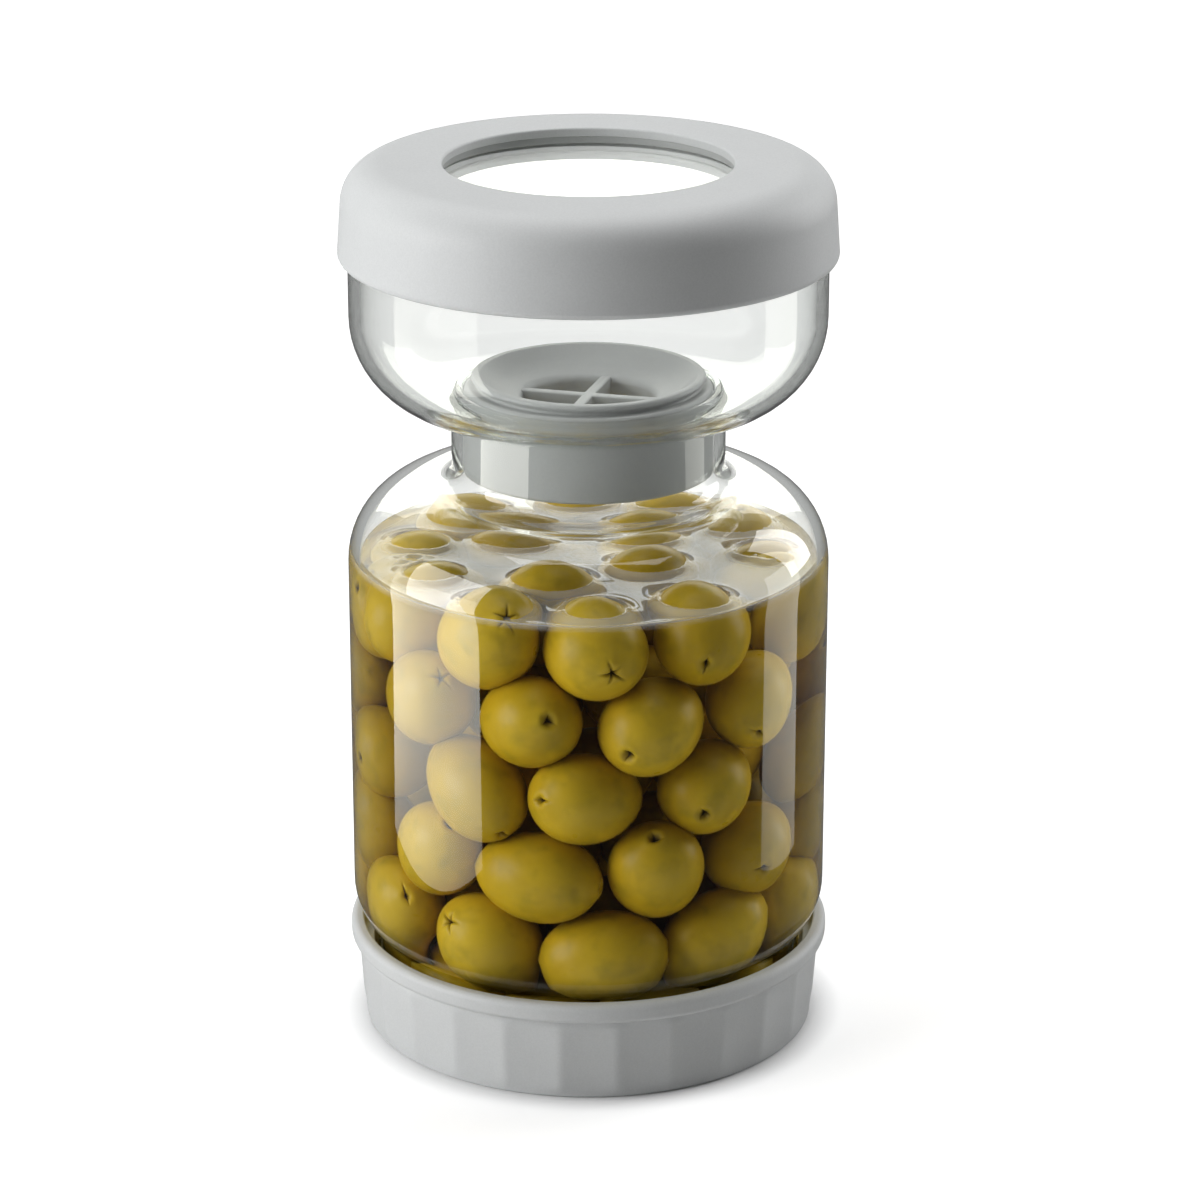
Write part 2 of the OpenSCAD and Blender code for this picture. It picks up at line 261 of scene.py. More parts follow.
# %% [markdown]
# ## Clear glass and brine
# Soda-lime glass has an index of 1.52. One shader with that index would be the plain way, but it bends
# the view at the neck more, and draws darker edges, than a thin blown wall shows in a bright studio.
# So the body's index is lower, a coat with the real index gives the reflections, and a little
# absorption greys the thick edges. The brine is water with salt and some colour from the olives, and
# a thin creamy film lies on it. Both let lamp light and diffuse light straight through to what lies
# behind, because a path tracer hardly finds lamps through glass.

# %% Glass and brine
GLASS_INDEX, BODY_INDEX, BRINE_INDEX = 1.52, 1.1, 1.34


def clear(name, ior, absorbed, strength, shine=0.0, film=0.0):
    """A clear material: full transmission, plain absorption inside, and open to lamp light. A shine
    above 0 adds a coat with the index of glass, except where brine wets the surface. A film above 0
    clouds what the points' own film value covers."""
    material, tree = new_material(name)
    path = add(tree, "LightPath")
    passing = combine(tree, "MAXIMUM", path.outputs["Is Shadow Ray"], path.outputs["Is Diffuse Ray"])
    wet = add(tree, "Attribute", attribute_name="wet").outputs["Fac"]
    shader = add(tree, "BsdfPrincipled", {
        "Base Color": WHITE, "Roughness": 0, "IOR": ior, "Transmission Weight": 1,
        "Specular Tint": blend(tree, wet, WHITE, BLACK)})
    if shine:
        tree.links.new(ramp(tree, wet, 0, 1, shine, 0), shader.inputs["Coat Weight"])
        shader.inputs["Coat IOR"].default_value = GLASS_INDEX
        shader.inputs["Coat Roughness"].default_value = 0
    if film:
        cloudy = add(tree, "Attribute", attribute_name="film").outputs["Fac"]
        tree.links.new(ramp(tree, cloudy, 0, 1, 1, 1 - film), shader.inputs["Transmission Weight"])
    open_way = add(tree, "BsdfTransparent", {"Color": WHITE})
    surface = add(tree, "MixShader", {0: passing, 1: shader.outputs["BSDF"], 2: open_way.outputs["BSDF"]})
    inside = add(tree, "VolumeAbsorption", {"Color": linear(absorbed), "Density": strength})
    add(tree, "OutputMaterial", {"Surface": surface.outputs["Shader"], "Volume": inside.outputs["Volume"]})
    return material


soda_lime_glass = clear("clear soda-lime glass", BODY_INDEX, "#dde4de", 60, shine=1.0)
olive_brine = clear("olive brine", BRINE_INDEX, "#ece0a4", 24, film=0.28)
print("clear materials:", soda_lime_glass.name, "and", olive_brine.name)

# %% [markdown]
# ## The glass body
# The jar and the bowl are blown and joined at the neck, so the visible glass is one closed surface:
# up the outside from the mouth to the bowl's rim, and down the inside. Solidify could thicken a single
# wall, but two outlines give the lip and the heel their own roundings. The mouth carries a thread of
# three starts. It is a ridge on the same grid: at each angle the ridge stands at a height that climbs
# one lead a turn, and its profile is a smooth bump.

# %% Sizes of the glass, partly from the CAD model
jar_low, jar_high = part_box("jar_glass")
bowl_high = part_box("bowl_glass")[1]
GLASS_WALL = 2.4
JAR_R = jar_high.x / MM
BOWL_R = bowl_high.x / MM
SEAT_Z = jar_low.z / MM
BOWL_RIM_Z = bowl_high.z / MM
MOUTH_R = 45.4
HEEL_Z, HEEL_TOP_Z = 20.74, 25.77
HEEL_INNER_RISE = 1.12
HEEL_FILLET, HEEL_ROUND = 3.36, 12.6
RIM_ROUND = 0.8
SHOULDER_Z, SHOULDER_ROUND = 122.0, 17.5
NECK_R, NECK_FILLET = 29.1, 4.0
BOWL_Z, BOWL_CORNER, BOWL_FILLET = 138.6, 20.0, 1.0
LIP_W, LIP_H, LIP_ROUND = 1.9, 1.4, 0.85
BRINE_Z = 104.9
BORE_R = JAR_R - GLASS_WALL
MOUTH_BORE_R = MOUTH_R - GLASS_WALL
NECK_BORE_R = NECK_R - GLASS_WALL
BOWL_BORE_R = BOWL_R - GLASS_WALL
BOWL_FLOOR_Z = BOWL_Z + GLASS_WALL
LIP_Z = BOWL_FLOOR_Z + LIP_H

glass_outside = [
    (MOUTH_BORE_R, SEAT_Z, RIM_ROUND), (MOUTH_R, SEAT_Z, RIM_ROUND), (MOUTH_R, HEEL_Z, HEEL_FILLET),
    (JAR_R, HEEL_TOP_Z, HEEL_ROUND), (JAR_R, SHOULDER_Z, SHOULDER_ROUND),
    (NECK_R, SHOULDER_Z, NECK_FILLET), (NECK_R, BOWL_Z, BOWL_FILLET), (BOWL_R, BOWL_Z, BOWL_CORNER),
    (BOWL_R, BOWL_RIM_Z, RIM_ROUND), (BOWL_BORE_R, BOWL_RIM_Z, RIM_ROUND)]
bowl_inside = [
    (BOWL_BORE_R, BOWL_FLOOR_Z, BOWL_CORNER - GLASS_WALL),
    (NECK_BORE_R + LIP_W, BOWL_FLOOR_Z, LIP_H / 4),
    (NECK_BORE_R + LIP_W, LIP_Z, LIP_ROUND), (NECK_BORE_R, LIP_Z, LIP_ROUND)]
jar_inside = [
    (NECK_BORE_R, SHOULDER_Z - GLASS_WALL, NECK_FILLET + GLASS_WALL),
    (BORE_R, SHOULDER_Z - GLASS_WALL, SHOULDER_ROUND - GLASS_WALL),
    (BORE_R, HEEL_TOP_Z + HEEL_INNER_RISE, HEEL_ROUND - GLASS_WALL),
    (MOUTH_BORE_R, HEEL_Z + HEEL_INNER_RISE, HEEL_FILLET + GLASS_WALL)]
glass_corners = glass_outside + bowl_inside + jar_inside
# Long steps on plain walls, short ones up the outside of the mouth for the thread
MOUTH_SIDE = 1
straight = np.full(len(glass_corners), 6.0)
straight[MOUTH_SIDE] = 0.55
glass_outline = rounded(glass_corners, spacing=straight)
print("glass outline:", len(glass_outline), "points")

# %% The thread
THREAD_LEAD, THREAD_STARTS = 18.0, 3
THREAD_HEIGHT, THREAD_HALF_W = 1.15, 1.1


def thread(height, columns, low, high, phase):
    """How far the thread stands out at each height and angle: 1 on a ridge, 0 between ridges.

    The ridges are THREAD_LEAD / THREAD_STARTS apart and climb one lead a turn. The distance to the
    nearest ridge goes through a cosine bump, which fades to nothing at both ends of the thread.
    """
    angle = np.linspace(0, TURN, columns, endpoint=False)
    pitch = THREAD_LEAD / THREAD_STARTS
    off = (height[:, None] - THREAD_LEAD * angle / TURN - phase + pitch / 2) % pitch - pitch / 2
    bump = 0.5 + 0.5 * np.cos(np.pi * np.clip(off / THREAD_HALF_W, -1, 1))
    fade = np.clip(np.minimum(height - low, high - height) / THREAD_HALF_W, 0, 1)
    return bump * fade[:, None]


GLASS_COLUMNS = 288
THREAD_LOW_Z, THREAD_HIGH_Z = SEAT_Z + 1.5, HEEL_Z - 2.0
radius, height = glass_outline.T
on_mouth = np.abs(radius - MOUTH_R) < 0.01
ridges = thread(height, GLASS_COLUMNS, THREAD_LOW_Z, THREAD_HIGH_Z, 0.0) * on_mouth[:, None]
glass_grid = turned(radius[:, None] + THREAD_HEIGHT * ridges, height, GLASS_COLUMNS)
glass_body = piece("glass_body", [glass_grid], soda_lime_glass, "jar",
                   ["jar_glass", "bowl_glass"])
inside = np.arange(len(height)) > np.argmax(height)
wetted = np.repeat(inside & (height < SHOULDER_Z - GLASS_WALL), GLASS_COLUMNS)
mark(glass_body.data, "wet", wetted)

# %% [markdown]
# ## The screw cap
# The cap is one moulding: a wall of shallow flutes, a bead round the rim, a bore with the cap's own
# thread, and a foot ring. Each flute is nearly flat, so the wall reads as a ring of soft facets.
# Boolean cuts could make the flutes, but here columns of the grid fall on the ridges, which keeps them
# crisp. The flutes only act below the bead and run out above the foot.

# %% Screw cap and its seal
cap_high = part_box("base_cap")[1]
disc_low, disc_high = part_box("base_seal")
CAP_H = cap_high.z / MM
BEAD_R = cap_high.x / MM
CAP_FLOOR = disc_low.z / MM
CAP_BORE_R = 47.2
CAP_FOOT_R, CAP_TOP_R = 49.5, 50.9
BEAD_H = 4.2
BEAD_Z = CAP_H - BEAD_H
RIM_BORE_R = BEAD_R - 2.8
RIM_DEPTH = 5.0
FOOT_RECESS, RECESS_R = 0.8, 42.0
FLUTES, FLUTE_STEPS = 26, 12
FLUTE_DEPTH, FLUTE_RUNOUT = 0.5, 2.0
EDGE, FINE_EDGE, STEP_EDGE = 0.5, 0.3, 0.4
BEAD_UNDER_ROUND, BEAD_TOP_ROUND = 1.2, 1.5
CAP_COLUMNS = FLUTES * FLUTE_STEPS
CAP_THREAD_LOW_Z, CAP_THREAD_HIGH_Z = CAP_FLOOR + 3.0, CAP_H - RIM_DEPTH - 0.5
HALF_PITCH = THREAD_LEAD / THREAD_STARTS / 2


def fluted(radius, depth, columns):
    """The wall's radius at each angle: between two ridges it follows the straight chord, less the
    part of the depth that the chord doesn't reach, as a parabola across the flute."""
    half = np.pi / FLUTES
    across = (np.arange(columns) % FLUTE_STEPS) / FLUTE_STEPS * 2 - 1
    chord = radius[:, None] * np.cos(half) / np.cos(half * across)
    hollow = (depth - radius * (1 - np.cos(half)))[:, None]
    return chord - hollow * (1 - across ** 2)


cap_outline = rounded([
    (0, FOOT_RECESS, 0), (RECESS_R, FOOT_RECESS, FINE_EDGE), (RECESS_R, 0, FINE_EDGE),
    (CAP_FOOT_R - FLUTE_DEPTH, 0, EDGE), (CAP_TOP_R - FLUTE_DEPTH, BEAD_Z, FINE_EDGE),
    (BEAD_R, BEAD_Z, BEAD_UNDER_ROUND), (BEAD_R, CAP_H, BEAD_TOP_ROUND), (RIM_BORE_R, CAP_H, EDGE),
    (RIM_BORE_R, CAP_H - RIM_DEPTH, STEP_EDGE), (CAP_BORE_R, CAP_H - RIM_DEPTH, STEP_EDGE),
    (CAP_BORE_R, CAP_FLOOR, FINE_EDGE), (0, CAP_FLOOR, 0)], spacing=0.9)
radius, height = cap_outline.T
below_bead = np.arange(len(radius)) < np.argmax(height >= BEAD_Z - FINE_EDGE)
on_wall = below_bead & (radius > RECESS_R + 2)
depth = FLUTE_DEPTH * on_wall * np.clip((height - EDGE) / FLUTE_RUNOUT, 0, 1)
on_bore = np.abs(radius - CAP_BORE_R) < 0.01
ridges = thread(height, CAP_COLUMNS, CAP_THREAD_LOW_Z, CAP_THREAD_HIGH_Z, HALF_PITCH)
cap_radius = np.where(depth[:, None] > 0, fluted(radius + depth, depth, CAP_COLUMNS), radius[:, None])
cap_radius = cap_radius - THREAD_HEIGHT * ridges * on_bore[:, None]
piece("screw_cap", [turned(cap_radius, height, CAP_COLUMNS)], matte_abs, "base_cap",
      ["base_cap"])

DISC_R = disc_high.x / MM
disc_outline = rounded([
    (0, CAP_FLOOR, 0), (DISC_R, CAP_FLOOR, FINE_EDGE), (DISC_R, SEAT_Z, FINE_EDGE), (0, SEAT_Z, 0)])
piece("cap_seal", [turned(*disc_outline.T)], silicone, "base_seal", ["base_seal"])

# %% [markdown]
# ## The strainer
# One silicone moulding plugs the neck. Its top is a dish that falls to a drain, and a cross of two
# bars holds the olives back. The dish and the plug are turned. Two boxes could make the cross, but
# their tops would lie in one plane and flicker. So it is one plan outline with small fillets where
# the bars meet, stacked in rows that draw in at the rounded edges.

# %% Strainer
plug_low, plug_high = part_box("strainer")
PLUG_R = plug_high.x / MM
PLUG_Z, DISH_Z = plug_low.z / MM, plug_high.z / MM
PLUG_WALL = 2.2
PLUG_TOP_Z = LIP_Z + 0.3
DISH_R, DISH_RIM, DISH_DEPTH = 24.9, 1.8, 4.8
DISH_RIM_ROUND = 0.4 * DISH_RIM
DRAIN_R, DRAIN_Z, DRAIN_EDGE = 14.0, DISH_Z - DISH_DEPTH, 4.2
DRAIN_UNDER_Z, UNDER_RISE = DRAIN_Z - DRAIN_EDGE, 2.4
BAR_W, BAR_DEPTH, BAR_TURN = 2.4, 4.0, np.radians(-15)
BAR_END = DRAIN_R + 1.2

cup_outline = rounded([
    (PLUG_R - PLUG_WALL, PLUG_Z, EDGE), (PLUG_R, PLUG_Z, 2 * EDGE), (PLUG_R, PLUG_TOP_Z, 2 * EDGE),
    (DISH_R - DISH_RIM, PLUG_TOP_Z, EDGE), (DISH_R, DISH_Z - DISH_RIM / 2, EDGE),
    (DISH_R, DISH_Z, DISH_RIM_ROUND), (DISH_R - DISH_RIM, DISH_Z, DISH_RIM_ROUND),
    ((DISH_R + DRAIN_R) / 2, DRAIN_Z + DISH_DEPTH / 3, 2 * DISH_DEPTH),
    (DRAIN_R, DRAIN_Z, DRAIN_EDGE / 2), (DRAIN_R, DRAIN_UNDER_Z, EDGE),
    (PLUG_R - PLUG_WALL, DRAIN_UNDER_Z + UNDER_RISE, PLUG_WALL)], spacing=0.8)


def plus_outline(half, fillet):
    """The plan of the cross: a plus of bars this half-width, with fillets in its four inner corners."""
    quarter = np.array([(BAR_END, -half), (BAR_END, half), (half, half)])
    turns = [quarter, quarter[:, ::-1] * (-1, 1), -quarter, quarter[:, ::-1] * (1, -1)]
    rounding = np.tile([FINE_EDGE, FINE_EDGE, fillet], 4)
    return rounded(np.column_stack([np.concatenate(turns), rounding]), spacing=2)


def cross(edge=STEP_EDGE, rows=4):
    """The cross: its plan at each height. At the upper and lower edges the plan draws in along a
    quarter circle, and a point on the axis closes the flat top and bottom."""
    bend = np.linspace(0, np.pi / 2, rows)
    inset = edge * np.concatenate([1 - np.sin(bend), 1 - np.cos(bend)])
    level = np.concatenate([edge * (1 - np.cos(bend)) - BAR_DEPTH, edge * (np.sin(bend) - 1)])
    plans = np.stack([plus_outline(BAR_W / 2 - d, EDGE + d) for d in inset])
    heights = np.broadcast_to((DRAIN_Z + level)[:, None, None], (*plans.shape[:2], 1))
    grid = np.concatenate([plans, heights], -1)
    poles = np.zeros((2, *grid.shape[1:]))
    poles[..., 2] = DRAIN_Z + level[[0, -1], None]
    grid = np.concatenate([poles[:1], grid, poles[1:]])
    c, s = np.cos(BAR_TURN), np.sin(BAR_TURN)
    return grid @ np.array([[c, s, 0], [-s, c, 0], [0, 0, 1]])


piece("strainer_plug", [turned(*cup_outline.T), cross()], silicone, "strainer",
      ["strainer"])

# %% [markdown]
# ## The lid
# The lid's shell is a soft turned form with a wide opening. Under it sit the window, a ring that
# seals it, and the liner, which carries the window, rests on the bowl's rim and plugs the bowl with
# one more ring. A subdivided box could give the soft shell, but its curve would only be near the real
# one. So all five are turned from their own sections, with true arcs at the edges.

# %% Lid
shell_low, shell_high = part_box("lid_shell")
LID_R, LID_Z, LID_TOP_Z = shell_high.x / MM, shell_low.z / MM, shell_high.z / MM
LID_TOP_R = LID_R - 1.4
LID_UNDER_Z = LID_TOP_Z - 1.9
SKIRT_BORE_R = BOWL_R + 0.35
LID_BORE_R = SKIRT_BORE_R - 0.75
OPENING_R = 30.4
pane_low, pane_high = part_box("lid_window")
PANE_R, PANE_Z, PANE_TOP_Z = pane_high.x / MM, pane_low.z / MM, pane_high.z / MM
FLANGE_Z = BOWL_RIM_Z + 2.0
liner_low, liner_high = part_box("lid_liner")
LINER_Z, FLANGE_R = liner_low.z / MM, liner_high.x / MM
LINER_R = BOWL_BORE_R - 0.6
LINER_BORE_R = LINER_R - 2.2
LEDGE_R, LEDGE_Z = 32.27, PANE_Z - 2.0
BOSS_R = 43.4
ring_low, ring_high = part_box("lid_seal")
RING_Z, RING_TOP_Z, RING_R = ring_low.z / MM, ring_high.z / MM, ring_high.x / MM
RING_ROUND = 0.6
GROOVE_R = LINER_R - 1.2
POCKET_R = PANE_R + 0.3
PANE_RING_R = OPENING_R + 0.6
CREASE, GROOVE_EDGE = 0.2, 0.1
SKIRT_ROUND, LID_ROUND, LID_BORE_ROUND = 1.4, 8.5, 6.6

shell = rounded([
    (SKIRT_BORE_R, LID_Z, EDGE), (LID_R, LID_Z, SKIRT_ROUND), (LID_TOP_R, LID_TOP_Z, LID_ROUND),
    (OPENING_R, LID_TOP_Z, EDGE), (OPENING_R, LID_UNDER_Z, CREASE),
    (LID_BORE_R, LID_UNDER_Z, LID_BORE_ROUND), (LID_BORE_R, FLANGE_Z, CREASE),
    (SKIRT_BORE_R, FLANGE_Z, CREASE)], spacing=0.9, arc_step=np.radians(4))
piece("lid_cover", [turned(*shell.T, 288)], matte_abs, "lid", ["lid_shell"])

liner = rounded([
    (LINER_BORE_R, LINER_Z, EDGE), (LINER_R, LINER_Z, EDGE), (LINER_R, RING_Z, GROOVE_EDGE),
    (GROOVE_R, RING_Z, GROOVE_EDGE), (GROOVE_R, RING_TOP_Z, GROOVE_EDGE),
    (LINER_R, RING_TOP_Z, GROOVE_EDGE), (LINER_R, BOWL_RIM_Z, CREASE), (FLANGE_R, BOWL_RIM_Z, CREASE),
    (FLANGE_R, FLANGE_Z, CREASE), (LINER_R, FLANGE_Z, CREASE), (LINER_R, PANE_Z, EDGE),
    (BOSS_R, PANE_Z, CREASE), (BOSS_R, LID_UNDER_Z, CREASE), (POCKET_R, LID_UNDER_Z, CREASE),
    (POCKET_R, PANE_Z, CREASE), (LEDGE_R, PANE_Z, CREASE), (LEDGE_R, LEDGE_Z, EDGE),
    (LINER_BORE_R, LEDGE_Z, EDGE)])
piece("lid_liner_ring", [turned(*liner.T)], liner_abs, "lid", ["lid_liner"])

pane = rounded([
    (0, PANE_Z, 0), (PANE_R, PANE_Z, STEP_EDGE), (PANE_R, PANE_TOP_Z, STEP_EDGE), (0, PANE_TOP_Z, 0)])
piece("window_pane", [turned(*pane.T)], soda_lime_glass, "lid", ["lid_window"])

pane_ring = rounded([
    (PANE_RING_R, PANE_TOP_Z, FINE_EDGE), (PANE_R, PANE_TOP_Z, FINE_EDGE),
    (PANE_R, LID_UNDER_Z, FINE_EDGE), (PANE_RING_R, LID_UNDER_Z, FINE_EDGE)])
piece("window_ring", [turned(*pane_ring.T)], silicone, "lid", ["window_seal"])

bowl_ring = rounded([
    (GROOVE_R, RING_Z, GROOVE_EDGE), (RING_R, RING_Z, RING_ROUND), (RING_R, RING_TOP_Z, RING_ROUND),
    (GROOVE_R, RING_TOP_Z, GROOVE_EDGE)], spacing=0.6)
piece("bowl_ring", [turned(*bowl_ring.T)], silicone, "lid", ["lid_seal"])

# %% [markdown]
# ## Where the olives lie
# Large green olives settle against the wall in rings, each ring half a step round from the one below.
# A simulation could drop them all in, but then no olive would lie where it is wanted. So those at the
# front are listed one by one, and so are the ones that stand out of the brine. The rest start on rings
# and are pushed apart: each olive is two balls on its long axis, and overlapping balls move away from
# each other, from the wall and from the floor, until they hardly overlap.

# %% Olives listed one by one
OLIVE_LONG, OLIVE_WIDE = 11.6, 10.2
WALL_GAP = 0.3
UP = np.array([0, 0, 1])
# Angle from the front in degrees, height, and how far the stem end points right and up along the wall
front_olives = np.array([
    (-82, 95, 0.2, 0.5), (-31, 98, 0.6, 0.6), (2, 97.5, 0.28, -0.18), (36, 98.5, -0.43, -0.28),
    (84, 95, 0.5, 0.6),
    (-53, 82, 0.7, 0.6), (-17.5, 81.5, 0.54, 0.28), (19, 80.5, -0.62, -0.29), (55, 81.5, -0.5, -0.45),
    (-79, 64, 0.1, -0.15), (-35, 65, 0.7, -0.6), (-1, 65, -0.75, 0.15), (37, 65, -0.5, -0.29),
    (88, 62, 0.6, 0.7),
    (-84, 46, 0.3, 0.9), (-49, 48.5, 0.6, 0.7), (-15, 47, 1.0, -0.1), (20.5, 48, -0.2, 0.8),
    (55, 47.5, -0.4, -0.17), (86, 45, 0.5, 0.5),
    (-68, 32, 0.8, 0.4), (-31, 30.5, -0.45, 0.45), (4.5, 29.5, 1.0, 0.05), (40, 30.5, 0.9, 0.4),
    (74, 31, 0.6, -0.6)])
# Centres of the olives at the surface
surface_olives = np.array([
    (-7.5, -18.5, 99.5), (12.5, -6.5, 99.0), (-16, 11.5, 99.0), (12, 14.5, 98.5), (-36.5, 7.5, 97.5),
    (37, 1.5, 97.0), (-33.5, -14, 97.0)])

angle, level, right, up = front_olives.T
angle = np.radians(angle)
outwards = np.stack([np.sin(angle), -np.cos(angle), 0 * angle], -1)
rightwards = np.stack([np.cos(angle), np.sin(angle), 0 * angle], -1)
out = np.sqrt(np.clip(1 - right ** 2 - up ** 2, 0, 1))
front_axis = rightwards * right[:, None] + outwards * out[:, None] + UP * up[:, None]
front_axis /= np.linalg.norm(front_axis, axis=1, keepdims=True)
# How far an olive reaches towards the wall, so that it lies just off it
facing = (front_axis * outwards).sum(1)
reach = np.hypot(OLIVE_LONG * facing, OLIVE_WIDE * np.sqrt(1 - facing ** 2))
front_centre = outwards * (BORE_R - WALL_GAP - reach)[:, None] + UP * level[:, None]
print("olives placed by hand:", len(front_centre) + len(surface_olives))

# %% The other olives, on rings
def ring(count, radius, height, first, last, phase=0.0):
    """Points on a ring between two angles from the front, in degrees."""
    a = np.radians(np.linspace(first, last, count, endpoint=False) + phase)
    return np.stack([radius * np.sin(a), -radius * np.cos(a), np.full(count, float(height))], -1)


draw = np.random.default_rng(12)
WALL_R, CORE_R = BORE_R - OLIVE_WIDE - WALL_GAP, 17.5
BOTTOM_Z, TOP_LAYER_Z = 15.5, 90
JITTER = 0.8
others = [ring(8, 32, BOTTOM_Z, 0, 360, 10), ring(3, 11, BOTTOM_Z, 0, 360)]
for k, height in enumerate((31, 48, 65, 80, TOP_LAYER_Z)):
    others.append(ring(5, WALL_R, height, 105 + 10 * (k % 2), 275))
    if height < TOP_LAYER_Z:
        others.append(ring(5, CORE_R, height + 4, 0, 360, 36 * k))
others = np.concatenate(others)
others = others + draw.normal(0, JITTER, others.shape)
centre = np.concatenate([front_centre, surface_olives, others])
axis = draw.normal(0, 1, centre.shape)
axis[:len(front_axis)] = front_axis
axis /= np.linalg.norm(axis, axis=1, keepdims=True)
fixed = np.arange(len(centre)) < len(front_centre) + len(surface_olives)

# The inside of the jar as a few heights and radii
FULL_BORE_Z = HEEL_TOP_Z + 6
inside_z = np.array([SEAT_Z, HEEL_Z, FULL_BORE_Z, SHOULDER_Z - SHOULDER_ROUND, SHOULDER_Z])
inside_r = np.array([MOUTH_BORE_R, MOUTH_BORE_R, BORE_R, BORE_R, NECK_R])
BALL_R = OLIVE_WIDE - 0.15
BALL_OFF = OLIVE_LONG - OLIVE_WIDE
BALL_GAP = 0.2
TOP_COVER = 6
PUSH_SHARE, SINK_STEP = 0.3, 0.01


def settle(centre, axis, fixed, steps=500):
    """Pushes overlapping olives apart and returns their centres, their axes and the deepest overlap.

    Each pair of balls nearer than two radii moves apart along the line between them. Balls stay in
    the jar, sink a little at each step, and the two balls of an olive keep their distance.
    """
    ball = np.stack([centre + BALL_OFF * axis, centre - BALL_OFF * axis], 1)
    start = ball.copy()
    same = np.repeat(np.arange(len(centre)), 2)
    apart = same[:, None] != same
    for _ in range(steps):
        flat = ball.reshape(-1, 3)
        way = flat[:, None] - flat
        distance = np.linalg.norm(way, axis=-1) + 1e-9
        push = np.clip(2 * BALL_R - distance, 0, None) * apart
        flat = flat + PUSH_SHARE * (way * (push / distance)[..., None]).sum(1) - SINK_STEP * UP
        across = np.linalg.norm(flat[:, :2], axis=1)
        room = np.interp(flat[:, 2], inside_z, inside_r) - BALL_R - BALL_GAP
        flat[:, :2] *= np.minimum(1, room / np.maximum(across, 1e-9))[:, None]
        flat[:, 2] = np.clip(flat[:, 2], SEAT_Z + BALL_R + BALL_GAP, BRINE_Z - TOP_COVER)
        ball = flat.reshape(-1, 2, 3)
        middle, line = ball.mean(1, keepdims=True), ball[:, :1] - ball[:, 1:]
        line /= np.linalg.norm(line, axis=-1, keepdims=True)
        ball = np.concatenate([middle + BALL_OFF * line, middle - BALL_OFF * line], 1)
        ball[fixed] = start[fixed]
    return ball.mean(1), line[:, 0], push.max()


centre, axis, overlap = settle(centre, axis, fixed)
axis[:len(front_axis)] = front_axis
print("olives:", len(centre), "deepest overlap in mm:", round(float(overlap), 2))

# %% [markdown]
# ## The shape of an olive
# An olive is an egg-like spheroid. At its stem end the pit was pushed out, which leaves a small hole
# with splits round it, a single slit or just a dimple, and at the other end there is a tiny point.
# They could be sculpted, or drawn as a bump, but a bump is flat at the edge of the form. Here all are
# dents in the same grid, and a mask on the points tells the skin's material where to darken: painted
# shade in the hole and the splits, which are shallower than real ones, and the tip's small brown spot.

# %% One olive, and all of them
HOLE_DEPTH, HOLE_END = 1.3, 1.6
SPLIT_DEPTH, SPLIT_W = 0.8, 0.24
LIP_HEIGHT, LIP_AT, LIP_SPREAD = 0.3, 2.0, 1.0
POINT_HEIGHT, POINT_SPREAD, POINT_DARK = 0.35, 0.9, 0.35
EGG_SHAPE = 0.05


def olive_shape(splits, reach, hole_r, rows=36, columns=60):
    """One olive with its stem end up: points, quads, triangles at the poles, and the mask of painted shade
    and brown.

    The radius is a sine of the angle from the stem and the height a cosine. Near the stem, s is the
    distance from it: the hole is a bell curve of s, and a split is a bell curve of the distance to
    the nearest of the spokes that fades along the spoke.
    """
    polar = np.pi * (np.linspace(0, 1, rows + 2)[1:-1] ** 1.5)[:, None]
    angle = np.linspace(0, TURN, columns, endpoint=False)
    s = OLIVE_WIDE * polar
    spoke = (angle * splits / TURN + 0.5) % 1 - 0.5
    length = reach * (1 + 0.25 * np.cos(3 * angle))
    hole = np.exp(-(s / hole_r) ** 2) + 0 * angle
    split = np.exp(-(s * np.sin(spoke * TURN / splits) / SPLIT_W) ** 2)
    split = split * np.clip(1 - s / length, 0, 1) ** 0.6
    lip = np.exp(-((s - LIP_AT) / LIP_SPREAD) ** 2)
    point = np.exp(-(OLIVE_WIDE * (np.pi - polar) / POINT_SPREAD) ** 2)
    dent = HOLE_DEPTH * hole + SPLIT_DEPTH * split * (1 - hole) - LIP_HEIGHT * lip * (1 - split)
    girth = OLIVE_WIDE * np.sin(polar) * (1 + EGG_SHAPE * np.cos(polar)) + 0 * angle
    tall = OLIVE_LONG * np.cos(polar) - dent * np.cos(polar) - POINT_HEIGHT * point
    grid = np.stack([girth * np.cos(angle), girth * np.sin(angle), tall], -1)
    # The mask paints shade into the hole and the splits, and gives the tip its own small brown spot.
    brown_and_shade_mask = np.clip(0.9 * hole + 0.9 * split ** 1.5 + POINT_DARK * point, 0, 1)
    count = rows * columns
    ends = [(0, 0, OLIVE_LONG - HOLE_END), (0, 0, -OLIVE_LONG - POINT_HEIGHT)]
    points = np.concatenate([grid.reshape(-1, 3), ends])
    brown_and_shade_mask = np.concatenate([brown_and_shade_mask.ravel(), [1, POINT_DARK]])
    first, last = np.arange(columns), count - columns + np.arange(columns)
    stem = np.stack([np.full(columns, count), first, np.roll(first, -1)], -1)
    tip = np.stack([np.full(columns, count + 1), np.roll(last, -1), last], -1)
    return points, quads(rows, columns, False)[:, ::-1], np.concatenate([stem, tip]), brown_and_shade_mask


# Number of splits, their reach and the radius of the hole
STEM_ENDS = [(5, 2.8, 0.5), (2, 2.3, 0.6), (3, 1.3, 0.95)]
shapes = [olive_shape(*stem_end) for stem_end in STEM_ENDS]
print("olive shapes:", len(shapes), "of", len(shapes[0][0]), "points")


